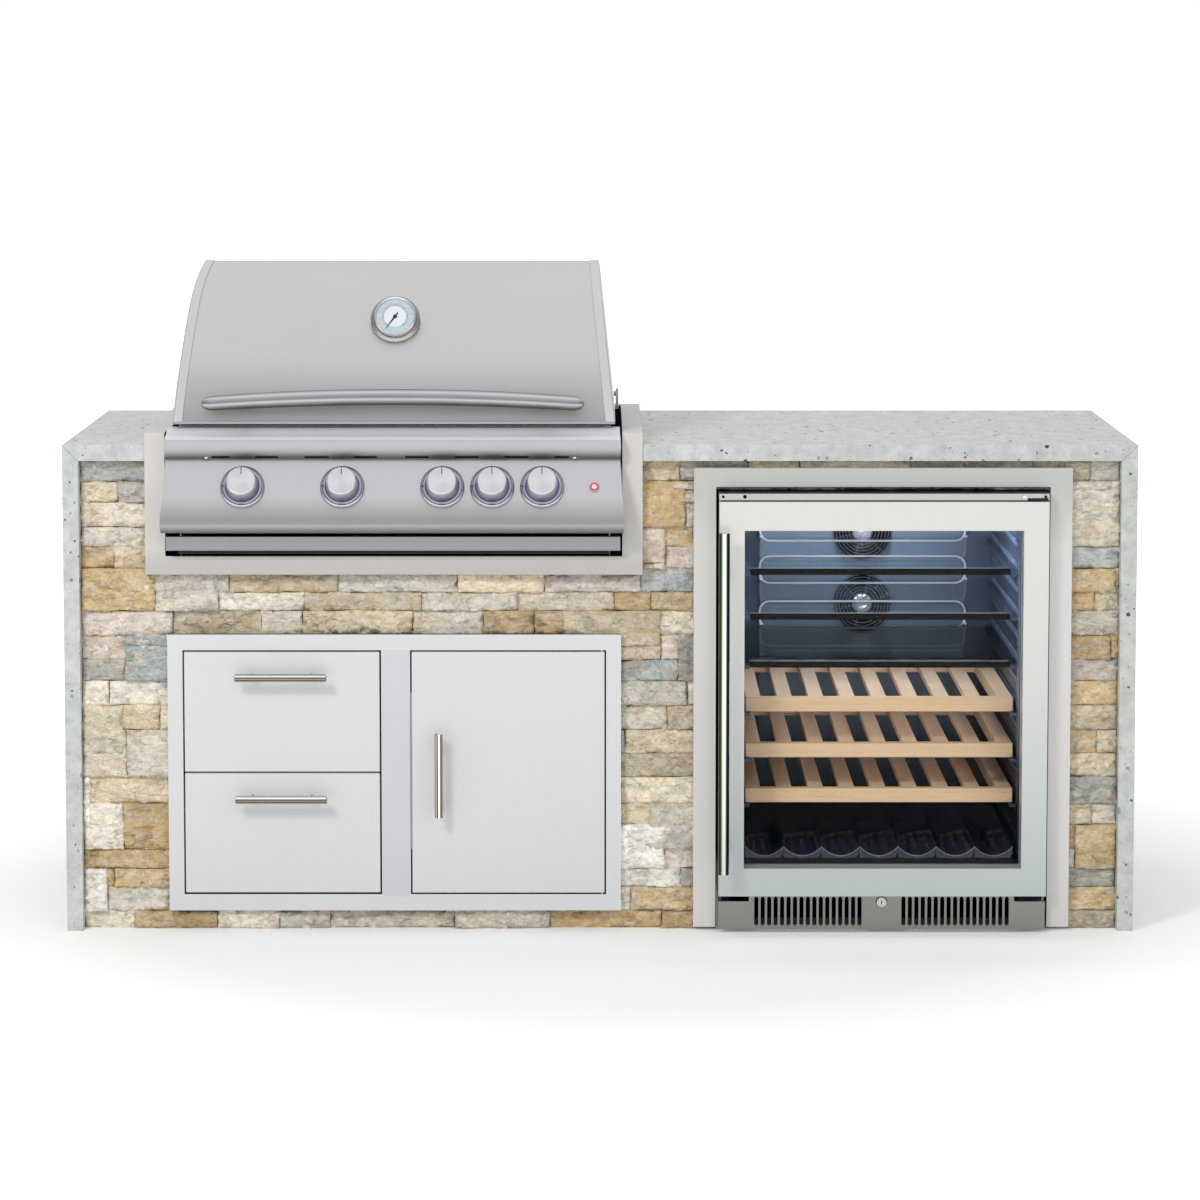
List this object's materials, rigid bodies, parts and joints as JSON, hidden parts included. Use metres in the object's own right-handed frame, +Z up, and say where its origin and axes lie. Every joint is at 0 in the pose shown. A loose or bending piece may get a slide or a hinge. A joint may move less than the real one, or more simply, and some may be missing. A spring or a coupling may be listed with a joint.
{
  "type": "outdoor kitchen island",
  "caption": "Stone clad outdoor kitchen island with a quartz waterfall counter, a built in gas grill with a tip up hood, a drawer and door unit and a glass door beverage fridge.",
  "frame": {"origin": "centre of the island's box on the floor", "axes": "+X along the island to the right seen from the front, +Y to the rear, +Z up; the working side faces -Y"},
  "size_m": [1.994, 0.791, 1.239],
  "materials": {
    "jacket_sheet": "warm grey folded sheet, satin",
    "stainless": "brushed",
    "hood_stainless": "brushed along its length, soft gloss",
    "end_cap": "brushed, paler than the shell",
    "polished_handle": "polished steel",
    "gauge_metal": "polished",
    "needle_black": "matt black",
    "manifold_steel": "plain tube",
    "button_red": "lit ring",
    "burner_steel": "heat toned",
    "rod_steel": "polished rod",
    "satin_steel": "pale satin",
    "trim_grey": "satin",
    "liner_dark": "dark blue grey liner over foam",
    "fan_black": "moulded",
    "door_glass": "clear, two panes seen as one",
    "gasket_rubber": "matt",
    "knob_metal": "turned and satin",
    "beech": "pale, oiled",
    "shelf_glass": "clear with a dark front trim",
    "tray_black": "moulded",
    "compressor_black": "gloss black",
    "quartz": "polished, dark specks",
    "ledgestone": "split face, mixed cream, tan and grey green",
    "frame_paint": "grey primer"
  },
  "bodies": {
    "island": {"steel_frame": "frame_paint", "countertop": "quartz", "side_slab_left": "quartz", "side_slab_right": "quartz", "stone_front": "ledgestone", "stone_rear": "ledgestone", "rear_vent": "stainless", "grill_jacket": "jacket_sheet", "firebox": "stainless", "control_panel": "hood_stainless", "gas_manifold": "manifold_steel", "knob_bezel_1": "gauge_metal", "knob_bezel_2": "gauge_metal", "knob_bezel_3": "gauge_metal", "knob_bezel_4": "gauge_metal", "knob_bezel_5": "gauge_metal", "burners": "burner_steel", "flame_tamers": "burner_steel", "grate_left": "rod_steel", "grate_middle": "rod_steel", "grate_right": "rod_steel", "warming_rack": "rod_steel", "unit_frame": "satin_steel", "fridge_trim": "trim_grey", "fridge_cabinet": "liner_dark", "toe_grille": "hood_stainless", "glass_shelf_1": "shelf_glass", "glass_shelf_2": "shelf_glass", "glass_shelf_3": "shelf_glass", "bottle_tray": "tray_black", "compressor": "compressor_black"},
    "hood": {"hood_shell": "hood_stainless", "hood_end_left": "end_cap", "hood_end_right": "end_cap", "hood_handle": "polished_handle", "thermometer": "gauge_metal"},
    "needle": {"thermometer_needle": "needle_black"},
    "light_button": {"light_button": "button_red"},
    "drip_tray": {"drip_tray": "stainless"},
    "upper_drawer": {"upper_drawer": "satin_steel", "upper_drawer_handle": "polished_handle"},
    "lower_drawer": {"lower_drawer": "satin_steel", "lower_drawer_handle": "polished_handle"},
    "cupboard_door": {"cupboard_door": "satin_steel", "cupboard_door_handle": "polished_handle"},
    "fridge_door": {"fridge_door_frame": "hood_stainless", "fridge_door_glass": "door_glass", "fridge_door_gasket": "gasket_rubber", "fridge_door_handle": "polished_handle"},
    "door_lock": {"door_lock": "gauge_metal"},
    "fan_upper": {"fan_upper": "fan_black"},
    "fan_lower": {"fan_lower": "fan_black"},
    "knob_1": {"knob_1": "knob_metal"},
    "knob_2": {"knob_2": "knob_metal"},
    "knob_3": {"knob_3": "knob_metal"},
    "knob_4": {"knob_4": "knob_metal"},
    "knob_5": {"knob_5": "knob_metal"},
    "wine_shelf_1": {"wine_shelf_1": "beech"},
    "wine_shelf_2": {"wine_shelf_2": "beech"},
    "wine_shelf_3": {"wine_shelf_3": "beech"}
  },
  "joints": [
    {"name": "hood_hinge", "type": "hinge", "parent": "island", "child": "hood", "pos_m": [-0.3824, 0.19661, 0.966], "axis": [-1, 0, 0], "range_deg": [0, 80]},
    {"name": "needle_turn", "type": "hinge", "parent": "hood", "child": "needle", "pos_m": [-0.3824, -0.22638, 1.14722], "axis": [0, 0.9063, -0.4226], "range_deg": [0, 270]},
    {"name": "knob_1_turn", "type": "hinge", "parent": "island", "child": "knob_1", "pos_m": [-0.6584, -0.34863, 0.84], "axis": [0, -0.8927, 0.4507], "range_deg": [0, 180]},
    {"name": "knob_2_turn", "type": "hinge", "parent": "island", "child": "knob_2", "pos_m": [-0.4744, -0.34863, 0.84], "axis": [0, -0.8927, 0.4507], "range_deg": [0, 180]},
    {"name": "knob_3_turn", "type": "hinge", "parent": "island", "child": "knob_3", "pos_m": [-0.2904, -0.34863, 0.84], "axis": [0, -0.8927, 0.4507], "range_deg": [0, 180]},
    {"name": "knob_4_turn", "type": "hinge", "parent": "island", "child": "knob_4", "pos_m": [-0.1984, -0.34863, 0.84], "axis": [0, -0.8927, 0.4507], "range_deg": [0, 180]},
    {"name": "knob_5_turn", "type": "hinge", "parent": "island", "child": "knob_5", "pos_m": [-0.1064, -0.34863, 0.84], "axis": [0, -0.8927, 0.4507], "range_deg": [0, 180]},
    {"name": "light_button_press", "type": "slide", "parent": "island", "child": "light_button", "axis": [0, 0.8927, -0.4507], "range_m": [0, 0.002], "stiffness_N_per_m": 300, "springref_m": -0.002},
    {"name": "drip_tray_slide", "type": "slide", "parent": "island", "child": "drip_tray", "axis": [0, -1, 0], "range_m": [0, 0.4]},
    {"name": "upper_drawer_slide", "type": "slide", "parent": "island", "child": "upper_drawer", "axis": [0, -1, 0], "range_m": [0, 0.35]},
    {"name": "lower_drawer_slide", "type": "slide", "parent": "island", "child": "lower_drawer", "axis": [0, -1, 0], "range_m": [0, 0.35]},
    {"name": "cupboard_door_hinge", "type": "hinge", "parent": "island", "child": "cupboard_door", "pos_m": [0.0033, -0.29239, 0.299], "axis": [0, 0, 1], "range_deg": [0, 105]},
    {"name": "fridge_door_hinge", "type": "hinge", "parent": "island", "child": "fridge_door", "pos_m": [0.8184, -0.32139, 0.44], "axis": [0, 0, 1], "range_deg": [0, 105]},
    {"name": "door_lock_turn", "type": "hinge", "parent": "island", "child": "door_lock", "pos_m": [0.5256, -0.3, 0.058], "axis": [0, -1, 0], "range_deg": [0, 90]},
    {"name": "fan_upper_spin", "type": "hinge", "parent": "island", "child": "fan_upper", "pos_m": [0.5256, 0.281, 0.682], "axis": [0, 1, 0], "continuous": true},
    {"name": "fan_lower_spin", "type": "hinge", "parent": "island", "child": "fan_lower", "pos_m": [0.5256, 0.281, 0.537], "axis": [0, 1, 0], "continuous": true},
    {"name": "wine_shelf_1_slide", "type": "slide", "parent": "island", "child": "wine_shelf_1", "axis": [0, -1, 0], "range_m": [0, 0.045]},
    {"name": "wine_shelf_2_slide", "type": "slide", "parent": "island", "child": "wine_shelf_2", "axis": [0, -1, 0], "range_m": [0, 0.045]},
    {"name": "wine_shelf_3_slide", "type": "slide", "parent": "island", "child": "wine_shelf_3", "axis": [0, -1, 0], "range_m": [0, 0.045]}
  ]
}
